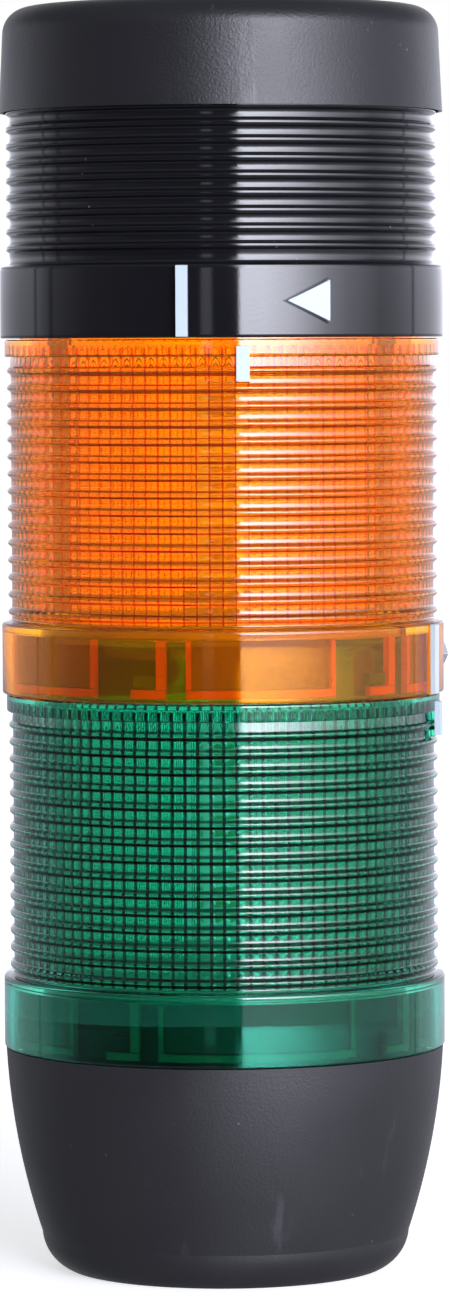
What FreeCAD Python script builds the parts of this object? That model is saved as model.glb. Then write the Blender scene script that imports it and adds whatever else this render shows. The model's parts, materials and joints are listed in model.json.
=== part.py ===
import FreeCAD, Part
import math
import os
import Sketcher
from FreeCAD import Placement, Rotation, Vector

# Stack light: a round base, a green and an orange lens module, a black sounder module and a cap.
# Frame: millimetres, origin at the centre of the base's flat underside, +Z up, the front faces -Y.
# Angles about the column are counted from the front (-Y) towards +X, in degrees.
# Each stage carries a neck with lugs, and the stage above it a skirt with ledges that turn under them.

SIZES = {
    "body_radius": 35.0,        # outside of every skirt
    "base_height": 35.5,        # underside to the first module's lower edge
    "module_pitch": 56.0,       # one lens module
    "sounder_pitch": 36.7,      # the sounder, up to the joint inside the cap
    "cap_rise": 15.3,           # cap above that joint
    "cap_lap": 1.2,             # how far the cap's edge hangs below it
    "cap_lap_radius": 34.4,
    "seat_gap": 0.2,            # between one stage's top and the next skirt
    "band_height": 11.2,        # the smooth skirt
    "skirt_inner": 33.4,
    "web_under": 9.7,           # underside of the web above the skirt's lower edge
    "web_inner": 29.0,
    "wall_outer": 33.4,         # valleys between the ridges
    "wall_inner": 31.4,
    "flare_height": 0.8,        # slope between skirt and ribbed wall
    "rim_radius": 34.35,
    "rim_height": 2.1,
    "rim_web": 0.9,             # ring that joins the wall to the neck
    "ridge_crest": 34.0,
    "ridge_half": 0.8,          # half the width of a ridge at its foot
    "ridge_pitch": 2.72,
    "ridge_count": 15,
    "sounder_ridges": 9,
    "sounder_ridge_pitch": 2.68,
    "neck_outer": 32.0,
    "neck_inner": 30.2,
    "neck_height": 9.6,
    "lug_outer": 33.1,
    "lug_bottom": 2.55,         # above the stage's top face
    "lug_height": 1.9,
    "ledge_inner": 32.4,
    "ledge_bottom": 0.7,
    "ledge_height": 1.35,
    "mark_outer": 36.0,         # raised marks on the skirt
    "mark_width": 2.0,
    "arrow_height": 7.0,
    "tab_outer": 35.2,          # raised tab below a lens rim
    "tab_width": 2.3,
    "tab_height": 5.7,
    "cap_top_radius": 34.4,
    "cap_edge": 4.2,
    "cap_wall": 2.2,
    "floor_thick": 3.0,
    "bowl_foot": 25.3,          # radius of the flat underside
    "bowl_rim": 34.75,
    "bowl_knee": 29.2,
    "bowl_knee_height": 5.7,
    "bowl_arc": 113.0,          # radius of the bowl's long side curve
    "knee_arc": 6.8,
    "bolt_circle": 40.0,
    "bolt_radius": 2.25,
    "entry_radius": 10.0,       # cable entry
    "gasket_inner": 22.7,
    "gasket_outer": 24.5,
    "gasket_thick": 1.2,
    "carrier_radius": 29.8,     # flange that seats under the web
    "carrier_boss": 28.8,
    "carrier_under": 8.2,
    "post_inner": 24.6,         # contact posts of a carrier
    "post_outer": 27.0,
    "post_half": 6.0,
    "post_rise": 4.5,           # posts above the module's joint plane
    "strip_thick": 0.5,         # contact strips
    "strip_width": 3.0,
    "strip_offset": 1.2,
    "pad_inner": 18.0,
    "tip_gap": 0.2,
    "socket_height": 6.0,       # lamp board socket
    "socket_half": 4.0,
    "board_width": 10.0,
    "board_height": 36.0,
    "board_thick": 1.6,
    "board_seat": 1.0,
    "led_side": 5.0,
    "led_thick": 1.4,
    "led_pitch": 11.0,
    "plate_height": 29.0,       # underside of the base's terminal plate
    "plate_thick": 3.0,
    "plate_radius": 29.6,
    "terminal_length": 34.0,
    "terminal_depth": 10.0,
    "terminal_height": 7.5,
    "screw_radius": 2.0,        # terminal screws
    "plate_screw_head": 3.0,
    "plate_screw_shank": 1.25,
    "plate_screw_length": 8.0,
    "sound_board_radius": 25.5,
    "sound_board_height": 16.2,
    "ring_outer": 21.0,         # resonator ring
    "ring_inner": 18.2,
    "ring_shelf": 16.5,
    "ring_height": 9.0,
    "shelf_height": 6.0,
    "disc_radius": 18.0,
    "disc_thick": 0.6,
    "sound_hole": 3.0,
    "sound_hole_circle": 14.0,
}

# Turn of each stage about the column, and where its lugs sit, from its own line mark.
GREEN_TURN = 140.5
ORANGE_TURN = 68.5
SOUNDER_TURN = -9.8
CAP_TURN = -81.8
LUG_ANGLES = (-169.5, -89.7, -23.4, 81.5)
LUG_SPAN = 6.0
ENTRY_SPAN = 11.0           # gap in the ledge that lets a lug in, 10 degrees before the locked place
STOP_PLAY = 0.5
STOP_SPAN = 2.5             # wall that stops the lug
FRAME_GAP = 5.5             # from there to the frame that runs on to the next entry
FRAME_SPAN = 1.3            # upright at each end of that frame
ARROW_TIP = 25.6
ARROW_BASE = 37.6
TAB_ANGLE = -63.2

# Posts under the terminal plate, and terminals along the block.
PLATE_POST = (20.0, 9.0)
POST_HALF = 3.0
TERMINALS = 5
BLOCK_MIDDLE = -15.0

doc = FreeCAD.newDocument("StackLight")
sheet = doc.addObject("Spreadsheet::Sheet", "Sizes")
for row, (alias, number) in enumerate(SIZES.items(), start=1):
    sheet.set(f"A{row}", alias)
    sheet.set(f"B{row}", str(number))
    sheet.setAlias(f"B{row}", alias)
doc.recompute()


class Size:
    """A number together with the sheet expression that gives it."""

    def __init__(self, number, text):
        self.number = number
        self.text = text

    def __add__(self, other):
        other = as_size(other)
        return Size(self.number + other.number, f"({self.text} + {other.text})")

    def __sub__(self, other):
        other = as_size(other)
        return Size(self.number - other.number, f"({self.text} - {other.text})")

    def __mul__(self, other):
        other = as_size(other)
        return Size(self.number * other.number, f"({self.text} * {other.text})")

    def __truediv__(self, other):
        other = as_size(other)
        return Size(self.number / other.number, f"({self.text} / {other.text})")

    def __neg__(self):
        return Size(-self.number, f"(0 - {self.text})")

    def __radd__(self, other):
        return as_size(other) + self

    def __rsub__(self, other):
        return as_size(other) - self


def as_size(value):
    """A plain number as a Size, so that it can be mixed with sheet values."""
    return value if isinstance(value, Size) else Size(float(value), repr(float(value)))


class Sheet:
    """Attribute access to the sheet's cells."""

    def __getattr__(self, alias):
        return Size(float(SIZES[alias]), f"Sizes.{alias}")


S = Sheet()
SUBPARTS = []


def bind(thing, prop, value):
    """Bind one property to its expression."""
    thing.setExpression(prop, as_size(value).text)


def keep(thing, label):
    """Name a finished sub-part, which is already where it belongs."""
    thing.Label = label
    SUBPARTS.append(thing)
    return thing


def place(thing, label, lift=0, turn=0):
    """Name a finished sub-part and set it on the column, lifted and turned."""
    thing.Placement = Placement(Vector(0, 0, as_size(lift).number), Rotation(Vector(0, 0, 1), turn))
    bind(thing, "Placement.Base.z", lift)
    return keep(thing, label)


# Sketch helpers

def new_body(name):
    return doc.addObject("PartDesign::Body", name)


def origin_plane(body, role):
    return [item for item in body.Origin.OriginFeatures if item.Role == role][0]


def flat_sketch(body, name, lift):
    """A sketch on the XY plane, lifted along Z."""
    sketch = body.newObject("Sketcher::SketchObject", name)
    sketch.AttachmentSupport = (origin_plane(body, "XY_Plane"), [""])
    sketch.MapMode = "FlatFace"
    sketch.AttachmentOffset = Placement(Vector(0, 0, as_size(lift).number), Rotation())
    bind(sketch, "AttachmentOffset.Base.z", lift)
    return sketch


def side_sketch(body, name, distance=0, turn=0):
    """An upright sketch whose normal points outwards at the angle turn, at a distance from the axis."""
    sketch = body.newObject("Sketcher::SketchObject", name)
    sketch.AttachmentSupport = (origin_plane(body, "XZ_Plane"), [""])
    sketch.MapMode = "FlatFace"
    spin = Rotation(Vector(0, 1, 0), turn)
    sketch.AttachmentOffset = Placement(spin.multVec(Vector(0, 0, as_size(distance).number)), spin)
    bind(sketch, "AttachmentOffset.Base.x", as_size(distance) * math.sin(math.radians(turn)))
    bind(sketch, "AttachmentOffset.Base.z", as_size(distance) * math.cos(math.radians(turn)))
    return sketch


def draw_outline(sketch, points, arcs=None):
    """A closed outline. arcs maps a stretch's index to (middle point, radius)."""
    arcs = arcs or {}
    first = sketch.GeometryCount
    spots = [Vector(as_size(x).number, as_size(y).number, 0) for x, y in points]
    for index, spot in enumerate(spots):
        following = spots[(index + 1) % len(spots)]
        if index in arcs:
            middle = arcs[index][0]
            sketch.addGeometry(Part.Arc(spot, Vector(middle[0], middle[1], 0), following), False)
        else:
            sketch.addGeometry(Part.LineSegment(spot, following), False)
    ends = []
    for index, spot in enumerate(spots):
        edge = sketch.Geometry[first + index]
        forward = edge.StartPoint.distanceToPoint(spot) < 1e-6
        ends.append((1, 2) if forward else (2, 1))
    for index in range(len(spots)):
        after = (index + 1) % len(spots)
        link = Sketcher.Constraint("Coincident", first + index, ends[index][1], first + after, ends[after][0])
        sketch.addConstraint(link)
    for index, point in enumerate(points):
        for kind, value in (("DistanceX", point[0]), ("DistanceY", point[1])):
            value = as_size(value)
            pin = Sketcher.Constraint(kind, -1, 1, first + index, ends[index][0], value.number)
            number = sketch.addConstraint(pin)
            if "Sizes" in value.text:
                sketch.setExpression(f"Constraints[{number}]", value.text)
    for index, (middle, radius) in arcs.items():
        number = sketch.addConstraint(Sketcher.Constraint("Radius", first + index, radius.number))
        sketch.setExpression(f"Constraints[{number}]", radius.text)


def draw_sector(sketch, inner, outer, start, end):
    """A ring sector between two radii and two angles about the column."""
    inner, outer = as_size(inner), as_size(outer)
    low, high = math.radians(start - 90), math.radians(end - 90)
    centre, up = Vector(0, 0, 0), Vector(0, 0, 1)
    corners = [Vector(r * math.cos(a), r * math.sin(a), 0)
               for r in (inner.number, outer.number) for a in (low, high)]
    first = sketch.GeometryCount
    sketch.addGeometry(Part.ArcOfCircle(Part.Circle(centre, up, outer.number), low, high), False)
    sketch.addGeometry(Part.LineSegment(corners[3], corners[1]), False)
    sketch.addGeometry(Part.ArcOfCircle(Part.Circle(centre, up, inner.number), low, high), False)
    sketch.addGeometry(Part.LineSegment(corners[0], corners[2]), False)
    make = Sketcher.Constraint
    sketch.addConstraint([
        make("Coincident", first, 3, -1, 1),
        make("Coincident", first + 2, 3, -1, 1),
        make("Coincident", first, 2, first + 1, 1),
        make("Coincident", first + 1, 2, first + 2, 2),
        make("Coincident", first + 2, 1, first + 3, 1),
        make("Coincident", first + 3, 2, first, 1),
        make("PointOnObject", -1, 1, first + 1),
        make("PointOnObject", -1, 1, first + 3)])
    for edge, radius in ((first, outer), (first + 2, inner)):
        number = sketch.addConstraint(make("Radius", edge, radius.number))
        sketch.setExpression(f"Constraints[{number}]", radius.text)


# Feature helpers

def grow(body, feature):
    """Recompute a feature that adds material and check that it does."""
    before = body.Tip.Shape.Volume if body.Tip and body.Tip != feature else 0
    body.Tip = feature
    doc.recompute()
    if feature.Shape.Volume <= before:
        raise RuntimeError(f"{feature.Name} adds nothing")
    return feature


def cut(body, feature, before):
    """Recompute a feature that removes material and check that it does."""
    body.Tip = feature
    doc.recompute()
    if feature.Shape.Volume >= before - 1e-3:
        raise RuntimeError(f"{feature.Name} cuts nothing")
    return feature


def revolve(body, name, points, arcs=None):
    sketch = side_sketch(body, f"{name}Profile")
    draw_outline(sketch, points, arcs)
    feature = body.newObject("PartDesign::Revolution", name)
    feature.Profile = sketch
    feature.ReferenceAxis = (sketch, ["V_Axis"])
    feature.Angle = 360
    doc.recompute()
    return feature


def pad(body, sketch, name, length):
    feature = body.newObject("PartDesign::Pad", name)
    feature.Profile = sketch
    bind(feature, "Length", length)
    doc.recompute()
    return feature


def pad_sectors(body, name, inner, outer, spans, lift, length):
    """Ring sectors that stand on one level."""
    sketch = flat_sketch(body, f"{name}Outline", lift)
    for start, end in spans:
        draw_sector(sketch, inner, outer, start, end)
    return pad(body, sketch, name, length)


def pad_outline(body, name, points, lift, length):
    sketch = flat_sketch(body, f"{name}Outline", lift)
    draw_outline(sketch, points)
    return pad(body, sketch, name, length)


def pocket_circles(body, name, centres, radius, lift, depth):
    """Round holes cut downwards from a level."""
    before = body.Tip.Shape.Volume
    sketch = flat_sketch(body, f"{name}Outline", lift)
    radius = as_size(radius)
    for x, y in centres:
        edge = sketch.addGeometry(Part.Circle(Vector(x, y, 0), Vector(0, 0, 1), radius.number), False)
        sketch.addConstraint(Sketcher.Constraint("DistanceX", -1, 1, edge, 3, x))
        sketch.addConstraint(Sketcher.Constraint("DistanceY", -1, 1, edge, 3, y))
        number = sketch.addConstraint(Sketcher.Constraint("Radius", edge, radius.number))
        sketch.setExpression(f"Constraints[{number}]", radius.text)
    feature = body.newObject("PartDesign::Pocket", name)
    feature.Profile = sketch
    bind(feature, "Length", depth)
    return cut(body, feature, before)


def rectangle(x0, x1, y0, y1):
    return [(x0, y0), (x1, y0), (x1, y1), (x0, y1)]


def box(name, corner, extent):
    """A plain block from its low corner and its three lengths."""
    thing = doc.addObject("Part::Box", name)
    for prop, value in zip(("Length", "Width", "Height"), extent):
        bind(thing, prop, value)
    for prop, value in zip("xyz", corner):
        bind(thing, f"Placement.Base.{prop}", value)
    return thing


def cylinder(name, centre, radius, height):
    thing = doc.addObject("Part::Cylinder", name)
    bind(thing, "Radius", radius)
    bind(thing, "Height", height)
    for prop, value in zip("xyz", centre):
        bind(thing, f"Placement.Base.{prop}", value)
    return thing


def group(name, things):
    """Separate solids kept together as one sub-part."""
    thing = doc.addObject("Part::Compound", name)
    thing.Links = things
    return thing


# The bayonet that joins two stages

def add_neck(body, top, turn):
    """Lugs round the neck that stands on a stage's top face, turned to the stage above."""
    spans = [(angle + turn - LUG_SPAN / 2, angle + turn + LUG_SPAN / 2) for angle in LUG_ANGLES]
    root = S.neck_outer - 0.6
    lugs = pad_sectors(body, "Lugs", root, S.lug_outer, spans, top + S.lug_bottom, S.lug_height)
    return grow(body, lugs)


def add_ledges(body):
    """Ledges and walls inside a skirt: a lug drops in at an entry and turns on to its ledge, up to a stop.

    Past the stop, a frame of a ledge between two uprights runs on to the next entry."""
    ledges, walls = [], []
    for index, angle in enumerate(LUG_ANGLES):
        entry_end = angle - LUG_SPAN / 2 - STOP_PLAY
        stop_end = angle + LUG_SPAN / 2 + STOP_PLAY + STOP_SPAN
        following = LUG_ANGLES[(index + 1) % len(LUG_ANGLES)]
        if following < angle:
            following += 360
        frame_start = stop_end + FRAME_GAP
        frame_end = following - LUG_SPAN / 2 - STOP_PLAY - ENTRY_SPAN
        ledges += [(entry_end, stop_end), (frame_start, frame_end)]
        walls += [(stop_end - STOP_SPAN, stop_end), (frame_start, frame_start + FRAME_SPAN),
                  (frame_end - FRAME_SPAN, frame_end)]
    root = S.skirt_inner + 0.6
    grow(body, pad_sectors(body, "Ledges", S.ledge_inner, root, ledges, S.ledge_bottom, S.ledge_height))
    foot = S.ledge_bottom + 0.1
    grow(body, pad_sectors(body, "Walls", S.ledge_inner, root, walls, foot, S.web_under - foot + 0.1))


def add_skirt_marks(body):
    """A raised line the height of the skirt and an arrow that points at it."""
    half = math.degrees(S.mark_width.number / 2 / S.body_radius.number)
    root = S.body_radius - 0.8
    line = pad_sectors(body, "Line", root, S.mark_outer, [(-half, half)], 0, S.band_height)
    grow(body, line)
    middle = (ARROW_TIP + ARROW_BASE) / 2
    reach = S.body_radius.number * math.radians(ARROW_BASE - ARROW_TIP) / 2
    sketch = side_sketch(body, "ArrowOutline", root, middle)
    centre = S.band_height / 2
    draw_outline(sketch, [
        (-reach, centre), (reach, centre - S.arrow_height / 2), (reach, centre + S.arrow_height / 2)])
    grow(body, pad(body, sketch, "Arrow", S.mark_outer - root))


def add_tab(body, top):
    """The raised alignment tab just below a lens rim."""
    half = math.degrees(S.tab_width.number / 2 / S.tab_outer.number)
    spans = [(TAB_ANGLE - half, TAB_ANGLE + half)]
    low = top - 1.0 - S.tab_height
    grow(body, pad_sectors(body, "Tab", S.wall_inner + 1.0, S.tab_outer, spans, low, S.tab_height))


def ridge_points(middle, pitch, count):
    """Corners of even V-shaped ridges up the wall, the highest one centred on middle."""
    points = []
    for number in range(count - 1, -1, -1):
        centre = middle - pitch * number
        points += [(S.wall_outer, centre - S.ridge_half), (S.ridge_crest, centre),
                   (S.wall_outer, centre + S.ridge_half)]
    return points


def ribbed_shell(body, top, ridges, edge):
    """Skirt, web, ribbed wall and neck of one stage, as one moulding open at both ends.

    ridges are the corners up the wall, and edge the corners from there to the foot of the neck."""
    neck_top = top + S.neck_height
    step = top - S.rim_web
    shell = revolve(body, "Shell", [
        (S.skirt_inner, 0), (S.body_radius, 0), (S.body_radius, S.band_height),
        (S.wall_outer, S.band_height + S.flare_height), *ridges, *edge, (S.neck_outer, top),
        (S.neck_outer, neck_top), (S.neck_inner, neck_top), (S.neck_inner, step),
        (S.wall_inner, step), (S.wall_inner, S.band_height), (S.web_inner, S.band_height),
        (S.web_inner, S.web_under), (S.skirt_inner, S.web_under)])
    return grow(body, shell)


def lens(label, lift, turn, neck_turn):
    """A one-piece lens module housing."""
    body = new_body(f"{label}_body")
    top = S.module_pitch - S.seat_gap
    rim_foot = top - S.rim_height
    ridges = ridge_points(rim_foot - S.ridge_pitch, S.ridge_pitch, SIZES["ridge_count"])
    rim = [(S.wall_outer, rim_foot), (S.rim_radius, rim_foot), (S.rim_radius, top)]
    ribbed_shell(body, top, ridges, rim)
    add_neck(body, top, neck_turn)
    add_ledges(body)
    add_skirt_marks(body)
    add_tab(body, top)
    return place(body, label, lift, turn)


# Stages

def base_housing():
    """Bowl-shaped foot with its neck, bolt holes, cable entry and two posts for the terminal plate."""
    body = new_body("BaseHousingBody")
    top = S.base_height - S.seat_gap
    shell = revolve(body, "Bowl", [
        (S.bowl_foot, 0), (S.bowl_knee, S.bowl_knee_height), (S.bowl_rim, top),
        (S.neck_outer, top), (S.neck_outer, top + S.neck_height), (S.neck_inner, top + S.neck_height),
        (S.neck_inner, top - 3), (S.body_radius - 5.4, top - 10), (S.bowl_foot - 0.5, S.floor_thick),
        (0, S.floor_thick), (0, 0)],
        {0: ((28.0, 2.3), S.knee_arc), 1: ((32.8, 19.2), S.bowl_arc)})
    grow(body, shell)
    add_neck(body, top, GREEN_TURN)
    foot = S.floor_thick - 0.5
    for side, name in ((-1, "PostLeft"), (1, "PostRight")):
        x, y = side * PLATE_POST[0], PLATE_POST[1]
        outline = rectangle(x - POST_HALF, x + POST_HALF, y - POST_HALF, y + POST_HALF)
        grow(body, pad_outline(body, name, outline, foot, S.plate_height - foot))
    depth = S.plate_screw_length - S.plate_thick
    pocket_circles(body, "PostHoles", plate_screw_places(), S.plate_screw_shank, S.plate_height, depth)
    holes = round_places(SIZES["bolt_circle"] / 2, (90, 210, 330))
    pocket_circles(body, "BoltHoles", holes, S.bolt_radius, S.floor_thick, S.floor_thick)
    pocket_circles(body, "CableEntry", [(0, 0)], S.entry_radius, S.floor_thick, S.floor_thick)
    before = body.Tip.Shape.Volume
    sketch = flat_sketch(body, "GasketGrooveOutline", S.gasket_thick)
    for radius in (S.gasket_inner, S.gasket_outer):
        edge = sketch.addGeometry(Part.Circle(Vector(0, 0, 0), Vector(0, 0, 1), radius.number), False)
        sketch.addConstraint(Sketcher.Constraint("Coincident", edge, 3, -1, 1))
        number = sketch.addConstraint(Sketcher.Constraint("Radius", edge, radius.number))
        sketch.setExpression(f"Constraints[{number}]", radius.text)
    groove = body.newObject("PartDesign::Pocket", "GasketGroove")
    groove.Profile = sketch
    bind(groove, "Length", S.gasket_thick)
    cut(body, groove, before)
    return place(body, "base_housing")


def base_gasket():
    """Flat rubber ring in the groove of the underside."""
    body = new_body("BaseGasketBody")
    ring = revolve(body, "Ring", rectangle(S.gasket_inner, S.gasket_outer, 0, S.gasket_thick))
    grow(body, ring)
    return place(body, "base_gasket")


def round_places(radius, angles):
    """Points on a circle about the column."""
    return [(radius * math.cos(math.radians(a)), radius * math.sin(math.radians(a))) for a in angles]


def plate_screw_places():
    return [(side * PLATE_POST[0], PLATE_POST[1]) for side in (-1, 1)]


def terminal_places():
    pitch = SIZES["terminal_length"] / TERMINALS
    return [(pitch * (index - (TERMINALS - 1) / 2), BLOCK_MIDDLE) for index in range(TERMINALS)]


def terminal_plate():
    """Round plate on the base's posts, open in the middle for the wires."""
    body = new_body("TerminalPlateBody")
    top = S.plate_height + S.plate_thick
    grow(body, revolve(body, "Plate", [
        (S.entry_radius - 2, S.plate_height), (S.plate_radius, S.plate_height), (S.plate_radius, top),
        (S.entry_radius - 2, top)]))
    pocket_circles(body, "ScrewHoles", plate_screw_places(), S.plate_screw_shank + 0.25, top, S.plate_thick)
    return place(body, "terminal_plate")


def terminal_block():
    """Row of screw terminals with a recess for each screw."""
    body = new_body("TerminalBlockBody")
    foot = S.plate_height + S.plate_thick
    half, deep = S.terminal_length / 2, S.terminal_depth / 2
    outline = rectangle(-half, half, BLOCK_MIDDLE - deep, BLOCK_MIDDLE + deep)
    grow(body, pad_outline(body, "Block", outline, foot, S.terminal_height))
    pocket_circles(body, "Recesses", terminal_places(), S.screw_radius, foot + S.terminal_height, 1.0)
    return place(body, "terminal_block")


def base_screws():
    """Terminal screws in their recesses, and the two screws that hold the plate."""
    seat = S.plate_height + S.plate_thick + S.terminal_height - 1.0
    heads = [cylinder(f"TerminalScrew{index}", (x, y, seat), S.screw_radius, 1.2)
             for index, (x, y) in enumerate(terminal_places(), start=1)]
    keep(group("TerminalScrews", heads), "terminal_screws")
    top = S.plate_height + S.plate_thick
    screws = []
    for index, (x, y) in enumerate(plate_screw_places(), start=1):
        foot = top - S.plate_screw_length
        shank = cylinder(f"PlateShank{index}", (x, y, foot), S.plate_screw_shank, S.plate_screw_length)
        head = cylinder(f"PlateHead{index}", (x, y, top), S.plate_screw_head, 2.0)
        screw = doc.addObject("Part::Fuse", f"PlateScrew{index}")
        screw.Base, screw.Tool = head, shank
        screws.append(screw)
    keep(group("PlateScrews", screws), "plate_screws")


def contact_strip(label, foot, crest, lift, side, far):
    """A bent brass strip: a flat foot, an upright and, where crest is given, a sprung tip."""
    body = new_body(f"{label}_body")
    outer, inner = S.post_inner, S.post_inner - S.strip_thick
    points = [(S.pad_inner, foot), (outer, foot)]
    if crest is None:
        top = S.sound_board_height
        points += [(outer, top), (inner, top)]
    else:
        points += [(outer, crest - 1.0), (outer - 2.1, crest), (outer - 5.1, crest - 1.0),
                   (outer - 5.1, crest - 1.6), (outer - 2.1, crest - 0.6), (inner, crest - 1.4)]
    points += [(inner, foot + S.strip_thick), (S.pad_inner, foot + S.strip_thick)]
    start = -(S.strip_offset + S.strip_width) if far else S.strip_offset
    sketch = side_sketch(body, "StripOutline", start)
    draw_outline(sketch, points)
    grow(body, pad(body, sketch, "Strip", S.strip_width))
    return place(body, label, lift, 0 if side > 0 else 180)


def contact_strips(prefix, foot, crest, lift):
    """Four strips, two on each side."""
    number = 0
    for side in (1, -1):
        for far in (False, True):
            number += 1
            contact_strip(f"{prefix}_{number}", foot, crest, lift, side, far)


def carrier_disc(body):
    """Disc that seats under the web and fills its opening, slotted for the four strips."""
    grow(body, revolve(body, "Disc", [
        (0, S.carrier_under), (S.carrier_radius, S.carrier_under), (S.carrier_radius, S.web_under),
        (S.carrier_boss, S.web_under), (S.carrier_boss, S.band_height), (0, S.band_height)]))
    before = body.Tip.Shape.Volume
    sketch = flat_sketch(body, "SlotOutline", S.band_height)
    outer, inner = S.post_inner, S.post_inner - S.strip_thick
    near, far = S.strip_offset, S.strip_offset + S.strip_width
    for x0, x1 in ((inner, outer), (-outer, -inner)):
        for y0, y1 in ((near, far), (-far, -near)):
            draw_outline(sketch, rectangle(x0, x1, y0, y1))
    slots = body.newObject("PartDesign::Pocket", "Slots")
    slots.Profile = sketch
    bind(slots, "Length", S.band_height - S.carrier_under)
    cut(body, slots, before)


def lamp_carrier(label, lift):
    """White carrier with a contact post on each side and a socket for the lamp board."""
    body = new_body(f"{label}_body")
    carrier_disc(body)
    foot = S.band_height - 0.5
    rise = S.module_pitch + S.post_rise - foot
    half = S.post_half
    right = rectangle(S.post_inner, S.post_outer, -half, half)
    left = rectangle(-S.post_outer, -S.post_inner, -half, half)
    for name, outline in (("PostRight", right), ("PostLeft", left)):
        grow(body, pad_outline(body, name, outline, foot, rise))
    wide = S.board_width / 2 + 2
    deep = S.socket_half
    socket = pad_outline(body, "Socket", rectangle(-wide, wide, -deep, deep), foot, S.socket_height + 0.5)
    grow(body, socket)
    before = body.Tip.Shape.Volume
    sketch = flat_sketch(body, "BoardSlotOutline", S.band_height + S.socket_height)
    wide, deep = S.board_width / 2, S.board_thick / 2
    draw_outline(sketch, rectangle(-wide, wide, -deep, deep))
    slot = body.newObject("PartDesign::Pocket", "BoardSlot")
    slot.Profile = sketch
    bind(slot, "Length", S.socket_height - S.board_seat)
    cut(body, slot, before)
    return place(body, label, lift)


def lamp_board(prefix, lift):
    """Slim upright circuit board with a row of square light-emitting chips up each face."""
    foot = lift + S.band_height + S.board_seat
    board = box(f"{prefix}_board", (-S.board_width / 2, -S.board_thick / 2, foot),
                (S.board_width, S.board_thick, S.board_height))
    keep(board, f"{prefix}_lamp_board")
    chips = []
    for face, y in (("front", -S.board_thick / 2 - S.led_thick), ("back", S.board_thick / 2)):
        for row in range(3):
            corner = (S.led_side / -2, y, foot + 8.0 + S.led_pitch * row)
            chips.append(box(f"{prefix}_{face}{row}", corner, (S.led_side, S.led_thick, S.led_side)))
    keep(group(f"{prefix}_chips", chips), f"{prefix}_lamp_chips")


def lamp_module(colour, lift, turn, neck_turn):
    """Everything in one lens module."""
    lens(f"{colour}_lens", lift, turn, neck_turn)
    lamp_carrier(f"{colour}_lamp_carrier", lift)
    lamp_board(colour, lift)
    foot = S.carrier_under - S.strip_thick
    crest = S.module_pitch + foot - S.tip_gap
    contact_strips(f"{colour}_contact_strip", foot, crest, lift)


def sounder_housing(lift, turn, neck_turn):
    """Black ribbed housing whose roof, hidden by the cap, has the sound holes."""
    body = new_body("SounderHousingBody")
    top = S.sounder_pitch - S.seat_gap
    ridges = ridge_points(top - 1.0, S.sounder_ridge_pitch, SIZES["sounder_ridges"])
    ribbed_shell(body, top, ridges, [(S.wall_outer, top)])
    add_neck(body, top, neck_turn)
    add_ledges(body)
    add_skirt_marks(body)
    roof = flat_sketch(body, "RoofOutline", top - S.rim_height)
    edge = roof.addGeometry(Part.Circle(Vector(0, 0, 0), Vector(0, 0, 1), S.neck_inner.number + 0.6), False)
    roof.addConstraint(Sketcher.Constraint("Coincident", edge, 3, -1, 1))
    number = roof.addConstraint(Sketcher.Constraint("Radius", edge, S.neck_inner.number + 0.6))
    roof.setExpression(f"Constraints[{number}]", (S.neck_inner + 0.6).text)
    grow(body, pad(body, roof, "Roof", S.rim_height))
    holes = round_places(SIZES["sound_hole_circle"], range(0, 360, 60))
    pocket_circles(body, "SoundHoles", holes, S.sound_hole, top, S.rim_height)
    return place(body, "sounder_housing", lift, turn)


def sounder_parts(lift):
    """Carrier, circuit board, resonator ring and disc of the sounder."""
    body = new_body("SounderCarrierBody")
    carrier_disc(body)
    foot = S.band_height - 0.5
    for index, (x, y) in enumerate(((0.0, 20.0), (-16.0, -12.0), (16.0, -12.0)), start=1):
        outline = rectangle(x - 2.0, x + 2.0, y - 2.0, y + 2.0)
        grow(body, pad_outline(body, f"Standoff{index}", outline, foot, S.sound_board_height - foot))
    place(body, "sounder_carrier", lift)

    under = lift + S.sound_board_height
    keep(cylinder("SounderBoard", (0, 0, under), S.sound_board_radius, S.board_thick), "sounder_board")
    top = under + S.board_thick
    chips = [
        box("DriverChip", (-5, -6, top), (10, 8, 2)),
        box("Coil", (-11, -4, top), (4, 6, 4)),
        box("Regulator", (6, 4, top), (6, 6, 3))]
    keep(group("SounderChips", chips), "sounder_board_parts")

    ring = new_body("ResonatorRingBody")
    face = S.sound_board_height + S.board_thick
    shelf = face + S.shelf_height
    rim = face + S.ring_height
    grow(ring, revolve(ring, "Ring", [
        (S.ring_inner, face), (S.ring_outer, face), (S.ring_outer, rim), (S.ring_inner, rim),
        (S.ring_inner, shelf), (S.ring_shelf, shelf), (S.ring_shelf, shelf - 1.2),
        (S.ring_inner, shelf - 1.2)]))
    place(ring, "resonator_ring", lift)
    keep(cylinder("PiezoDisc", (0, 0, lift + shelf), S.disc_radius, S.disc_thick), "piezo_disc")
    contact_strips("sounder_contact_strip", S.carrier_under - S.strip_thick, None, lift)


def cap(lift, turn):
    """Closed cap whose edge hangs over the top of the sounder."""
    body = new_body("CapBody")
    side = S.cap_top_radius
    shoulder = S.cap_rise - S.cap_edge
    corner = S.cap_edge.number * (1 - math.sqrt(0.5))
    grow(body, revolve(body, "Shell", [
        (S.cap_lap_radius, -S.cap_lap), (S.body_radius, -S.cap_lap), (side, shoulder),
        (side - S.cap_edge, S.cap_rise), (0, S.cap_rise), (0, S.cap_rise - S.cap_wall),
        (S.skirt_inner - 1.5, S.cap_rise - S.cap_wall), (S.skirt_inner, S.cap_rise - S.cap_wall - 1.5),
        (S.skirt_inner, 0.3), (S.cap_lap_radius, 0.3)],
        {2: ((side.number - corner, SIZES["cap_rise"] - corner), S.cap_edge)}))
    add_ledges(body)
    return place(body, "cap", lift, turn)


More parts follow.
